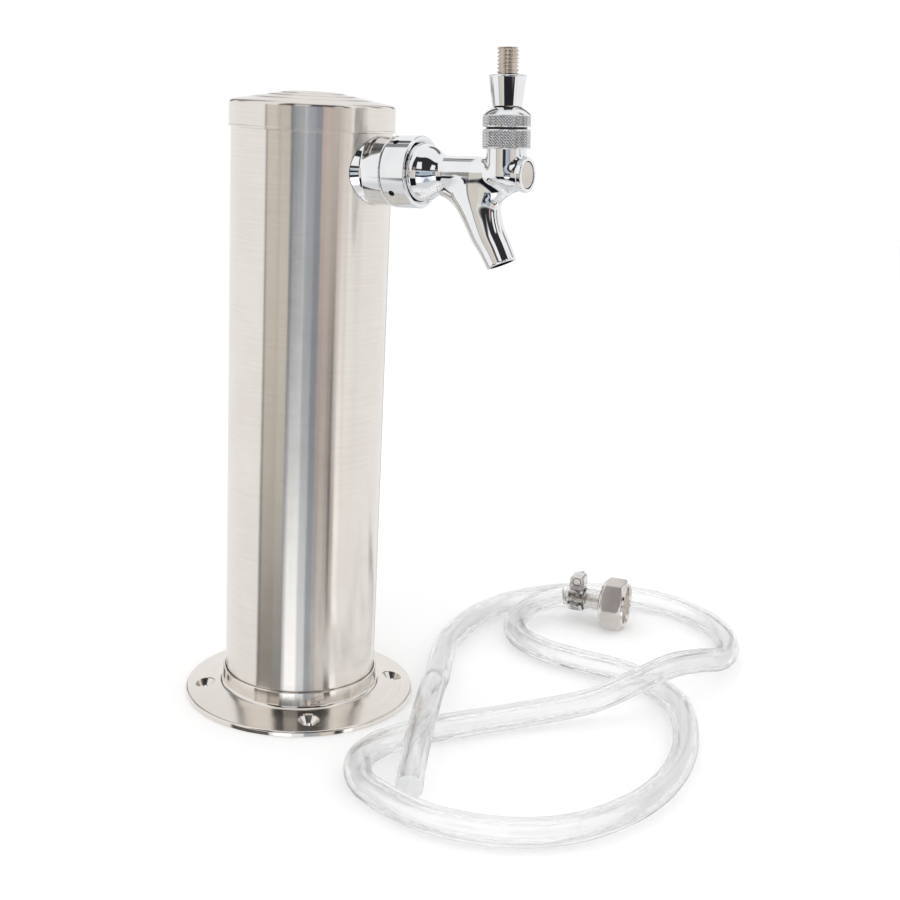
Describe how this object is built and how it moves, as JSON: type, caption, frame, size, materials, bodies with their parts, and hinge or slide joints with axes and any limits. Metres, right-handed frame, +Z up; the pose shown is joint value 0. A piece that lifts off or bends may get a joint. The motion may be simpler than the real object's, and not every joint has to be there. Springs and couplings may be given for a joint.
{
  "type": "beer tower dispenser",
  "caption": "Stainless column tower on a round bolt-down base with a chromed lever faucet, and a loose clear beer line ending in a swivel nut.",
  "frame": {"origin": "middle of the base flange's underside, on the column's axis, where it stands on the counter", "axes": "+Z up along the column; the faucet points to -Y; +X is to the right of someone who faces the column from behind the faucet, looking along +Y"},
  "size_m": [0.3165, 0.2672, 0.3241],
  "materials": {
    "brushed_stainless": "satin",
    "chrome_plate": "polished",
    "nickel_plate": "satin",
    "brass": "satin",
    "black_rubber": "matte",
    "white_plastic": "satin",
    "foam": "matte",
    "clear_pvc": "gloss"
  },
  "bodies": {
    "tower": {"base_flange": "brushed_stainless", "column_tube": "brushed_stainless", "insulation_sleeve": "foam", "shank_collar": "chrome_plate", "shank_tube": "brass", "coupling_washer": "black_rubber", "coupling_nut": "chrome_plate", "inner_saddle_washer": "white_plastic", "shank_locknut": "nickel_plate", "tail_washer": "black_rubber", "tail_elbow": "nickel_plate", "tail_nut": "nickel_plate", "faucet_body": "chrome_plate", "bonnet": "chrome_plate", "lever_bearing_cup": "white_plastic", "lever_friction_washer": "black_rubber", "beer_line": "clear_pvc", "tailpiece": "nickel_plate", "tailpiece_washer": "white_plastic", "clamp_band": "nickel_plate", "clamp_housing": "nickel_plate", "clamp_screw": "nickel_plate"},
    "cap": {"top_cap": "brushed_stainless", "cap_foam_disc": "foam"},
    "lever": {"ball_lever": "nickel_plate", "lever_ferrule": "chrome_plate"},
    "shaft": {"faucet_shaft": "nickel_plate", "shaft_friction_ring": "black_rubber", "shaft_seat_washer": "black_rubber", "shaft_nut": "brass"},
    "line_nut": {"swivel_nut": "nickel_plate"}
  },
  "joints": [
    {"name": "cap_lift", "type": "slide", "parent": "tower", "child": "cap", "axis": [0, 0, 1], "range_m": [0, 0.02]},
    {"name": "lever_swing", "type": "hinge", "parent": "tower", "child": "lever", "pos_m": [0, -0.10378, 0.287], "axis": [1, 0, 0], "range_deg": [0, 18]},
    {"name": "shaft_slide", "type": "slide", "parent": "tower", "child": "shaft", "axis": [0, 0.999, -0.0454], "range_m": [0, 0.0053]},
    {"name": "nut_spin", "type": "hinge", "parent": "tower", "child": "line_nut", "pos_m": [0.18002, -0.08903, 0.0138], "axis": [0.1925, -0.9813, 0], "continuous": true}
  ],
  "couplings": [
    {"joint": "shaft_slide", "follows": "lever_swing", "m_per_rad": 0.0165}
  ]
}
